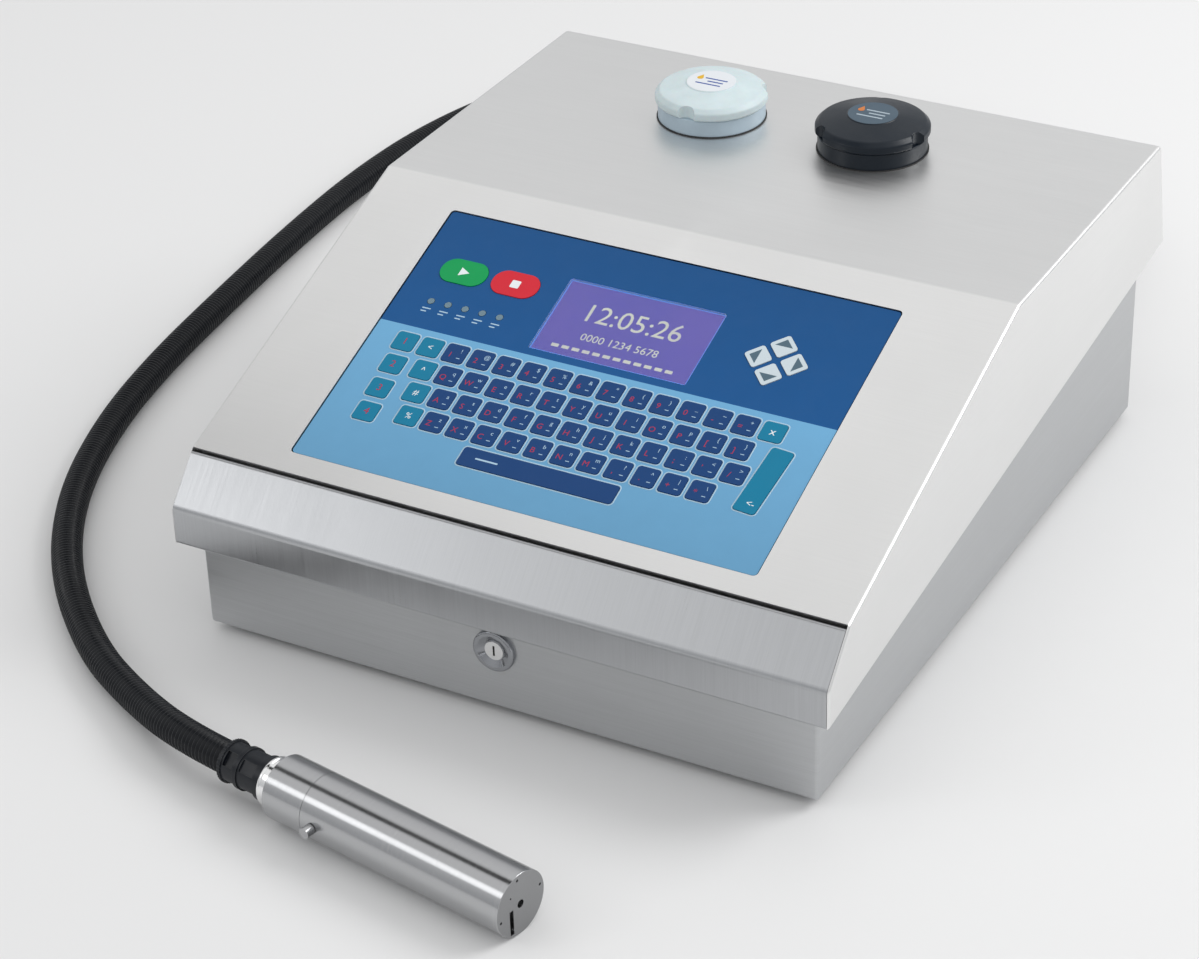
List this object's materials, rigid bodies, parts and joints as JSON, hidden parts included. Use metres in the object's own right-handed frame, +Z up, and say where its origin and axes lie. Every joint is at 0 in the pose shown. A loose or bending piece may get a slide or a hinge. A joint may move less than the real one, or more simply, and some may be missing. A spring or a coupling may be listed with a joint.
{
  "type": "date code inkjet printer",
  "caption": "Bench continuous inkjet printer: sheet steel cabinet with sloping keyboard lid, two capped fillers, and a cylindrical print head on a corrugated umbilical.",
  "frame": {"origin": "on the floor, under the middle of the lid, halfway between its upper front and rear edges", "axes": "+X to the keyboard user's right, +Y to the rear, +Z up"},
  "size_m": [0.7092, 1.1012, 0.2413],
  "materials": {
    "stainless": "brushed",
    "steel_fittings": "satin",
    "chrome_lock": "polished",
    "turned_steel": "turned",
    "aluminium_deck": "satin",
    "circuit_board": "solder mask",
    "pump_body": "satin",
    "tank_plastic": "natural moulded",
    "rubber": "matt",
    "black_plastic": "satin moulded",
    "black_nylon": "satin moulded",
    "white_plastic": "satin moulded",
    "overlay_blue": "printed film",
    "display_glass": "clear",
    "lamp": "clear lens",
    "key_green": "printed film",
    "key_red": "printed film",
    "key_teal": "printed film",
    "key_navy": "printed film",
    "key_white": "printed film"
  },
  "bodies": {
    "base": {"base_tray": "stainless", "charge_and_deflector_electrodes": "turned_steel", "chassis_deck": "aluminium_deck", "conduit_connector": "black_nylon", "drop_generator": "turned_steel", "fan_frame_and_guard": "black_plastic", "feet": "rubber", "gutter": "turned_steel", "head_chassis": "aluminium_deck", "head_rear_body": "turned_steel", "hinge_base_leaves": "steel_fittings", "hinge_pins": "steel_fittings", "ink_filter_and_damper": "white_plastic", "ink_pump": "pump_body", "ink_tank": "tank_plastic", "lid_gasket": "rubber", "lock_body": "chrome_lock", "main_board": "circuit_board", "mains_inlet": "black_plastic", "power_supply": "aluminium_deck", "solvent_tank": "tank_plastic", "umbilical_conduit": "black_nylon", "umbilical_gland": "black_nylon", "vacuum_pump": "pump_body", "valve_manifold": "pump_body"},
    "lid": {"lid_shell": "stainless", "front_trim": "stainless", "filler_gaskets": "rubber", "hinge_lid_leaves": "steel_fittings", "lock_catch": "steel_fittings", "keyboard_board": "circuit_board", "display_module": "circuit_board", "keyboard_overlay": "overlay_blue", "display_window": "display_glass", "status_lamps": "lamp", "ink_collar": "black_plastic", "solvent_collar": "white_plastic"},
    "stay": {"lid_stay": "steel_fittings"},
    "lock": {"lock_barrel": "chrome_lock"},
    "fan": {"fan_rotor": "black_plastic"},
    "switch": {"rocker_switch": "black_plastic"},
    "head_cover": {"head_cover": "turned_steel", "head_end_cap": "turned_steel"},
    "head_screw": {"head_thumb_screw": "turned_steel"},
    "ink_liner": {"ink_cap_liner": "white_plastic"},
    "ink_cap": {"ink_cap": "black_plastic"},
    "solvent_liner": {"solvent_cap_liner": "white_plastic"},
    "solvent_cap": {"solvent_cap": "white_plastic"},
    "arrow_key_down": {"arrow_key_down": "key_white"},
    "arrow_key_left": {"arrow_key_left": "key_white"},
    "arrow_key_right": {"arrow_key_right": "key_white"},
    "arrow_key_up": {"arrow_key_up": "key_white"},
    "control_keys": {"control_keys": "key_teal"},
    "delete_key": {"delete_key": "key_teal"},
    "enter_key": {"enter_key": "key_teal"},
    "function_keys": {"function_keys": "key_teal"},
    "letter_keys": {"letter_keys": "key_navy"},
    "space_bar": {"space_bar": "key_navy"},
    "start_key": {"start_key": "key_green"},
    "stop_key": {"stop_key": "key_red"}
  },
  "joints": [
    {"name": "lid_hinge", "type": "hinge", "parent": "base", "child": "lid", "pos_m": [0, 0.288, 0.133], "axis": [-1, 0, 0], "range_deg": [0, 75]},
    {"name": "stay_swing", "type": "hinge", "parent": "base", "child": "stay", "pos_m": [0.2, 0.2, 0.104], "axis": [-1, 0, 0], "range_deg": [0, 112.6]},
    {"name": "lock_turn", "type": "hinge", "parent": "base", "child": "lock", "pos_m": [-0.002, -0.24, 0.049], "axis": [0, 1, 0], "range_deg": [0, 90]},
    {"name": "fan_spin", "type": "hinge", "parent": "base", "child": "fan", "pos_m": [-0.14, 0.2525, 0.062], "axis": [0, 1, 0], "continuous": true},
    {"name": "switch_rock", "type": "hinge", "parent": "base", "child": "switch", "pos_m": [-0.04, 0.2675, 0.074], "axis": [-1, 0, 0], "range_deg": [0, 24]},
    {"name": "head_cover_slide", "type": "slide", "parent": "base", "child": "head_cover", "axis": [0.9839, -0.1788, 0], "range_m": [0, 0.15]},
    {"name": "head_screw_turn", "type": "hinge", "parent": "head_cover", "child": "head_screw", "pos_m": [-0.02844, -0.42465, 0.0207], "axis": [-0.1788, -0.9839, 0], "range_deg": [0, 720]},
    {"name": "ink_cap_rise", "type": "slide", "parent": "lid", "child": "ink_liner", "axis": [0, 0, 1], "range_m": [0, 0.006]},
    {"name": "ink_cap_turn", "type": "hinge", "parent": "ink_liner", "child": "ink_cap", "pos_m": [0.055, 0.1765, 0.228], "axis": [0, 0, 1], "range_deg": [0, 541]},
    {"name": "solvent_cap_rise", "type": "slide", "parent": "lid", "child": "solvent_liner", "axis": [0, 0, 1], "range_m": [0, 0.006]},
    {"name": "solvent_cap_turn", "type": "hinge", "parent": "solvent_liner", "child": "solvent_cap", "pos_m": [-0.067, 0.1765, 0.228], "axis": [0, 0, 1], "range_deg": [0, 541]},
    {"name": "arrow_key_down_press", "type": "slide", "parent": "lid", "child": "arrow_key_down", "axis": [0, 0.339, -0.9408], "range_m": [0, 0.0005], "stiffness_N_per_m": 300, "springref_m": -0.0004},
    {"name": "arrow_key_left_press", "type": "slide", "parent": "lid", "child": "arrow_key_left", "axis": [0, 0.339, -0.9408], "range_m": [0, 0.0005], "stiffness_N_per_m": 300, "springref_m": -0.0004},
    {"name": "arrow_key_right_press", "type": "slide", "parent": "lid", "child": "arrow_key_right", "axis": [0, 0.339, -0.9408], "range_m": [0, 0.0005], "stiffness_N_per_m": 300, "springref_m": -0.0004},
    {"name": "arrow_key_up_press", "type": "slide", "parent": "lid", "child": "arrow_key_up", "axis": [0, 0.339, -0.9408], "range_m": [0, 0.0005], "stiffness_N_per_m": 300, "springref_m": -0.0004},
    {"name": "control_keys_press", "type": "slide", "parent": "lid", "child": "control_keys", "axis": [0, 0.339, -0.9408], "range_m": [0, 0.0005], "stiffness_N_per_m": 500, "springref_m": -0.0004},
    {"name": "delete_key_press", "type": "slide", "parent": "lid", "child": "delete_key", "axis": [0, 0.339, -0.9408], "range_m": [0, 0.0005], "stiffness_N_per_m": 300, "springref_m": -0.0004},
    {"name": "enter_key_press", "type": "slide", "parent": "lid", "child": "enter_key", "axis": [0, 0.339, -0.9408], "range_m": [0, 0.0005], "stiffness_N_per_m": 300, "springref_m": -0.0004},
    {"name": "function_keys_press", "type": "slide", "parent": "lid", "child": "function_keys", "axis": [0, 0.339, -0.9408], "range_m": [0, 0.0005], "stiffness_N_per_m": 500, "springref_m": -0.0004},
    {"name": "letter_keys_press", "type": "slide", "parent": "lid", "child": "letter_keys", "axis": [0, 0.339, -0.9408], "range_m": [0, 0.0005], "stiffness_N_per_m": 3000, "springref_m": -0.0004},
    {"name": "space_bar_press", "type": "slide", "parent": "lid", "child": "space_bar", "axis": [0, 0.339, -0.9408], "range_m": [0, 0.0005], "stiffness_N_per_m": 600, "springref_m": -0.0004},
    {"name": "start_key_press", "type": "slide", "parent": "lid", "child": "start_key", "axis": [0, 0.339, -0.9408], "range_m": [0, 0.0005], "stiffness_N_per_m": 300, "springref_m": -0.0004},
    {"name": "stop_key_press", "type": "slide", "parent": "lid", "child": "stop_key", "axis": [0, 0.339, -0.9408], "range_m": [0, 0.0005], "stiffness_N_per_m": 300, "springref_m": -0.0004}
  ],
  "couplings": [
    {"joint": "stay_swing", "follows": "lid_hinge", "ratio": 1.5},
    {"joint": "ink_cap_turn", "follows": "ink_cap_rise", "rad_per_m": 1570.8},
    {"joint": "solvent_cap_turn", "follows": "solvent_cap_rise", "rad_per_m": 1570.8}
  ]
}
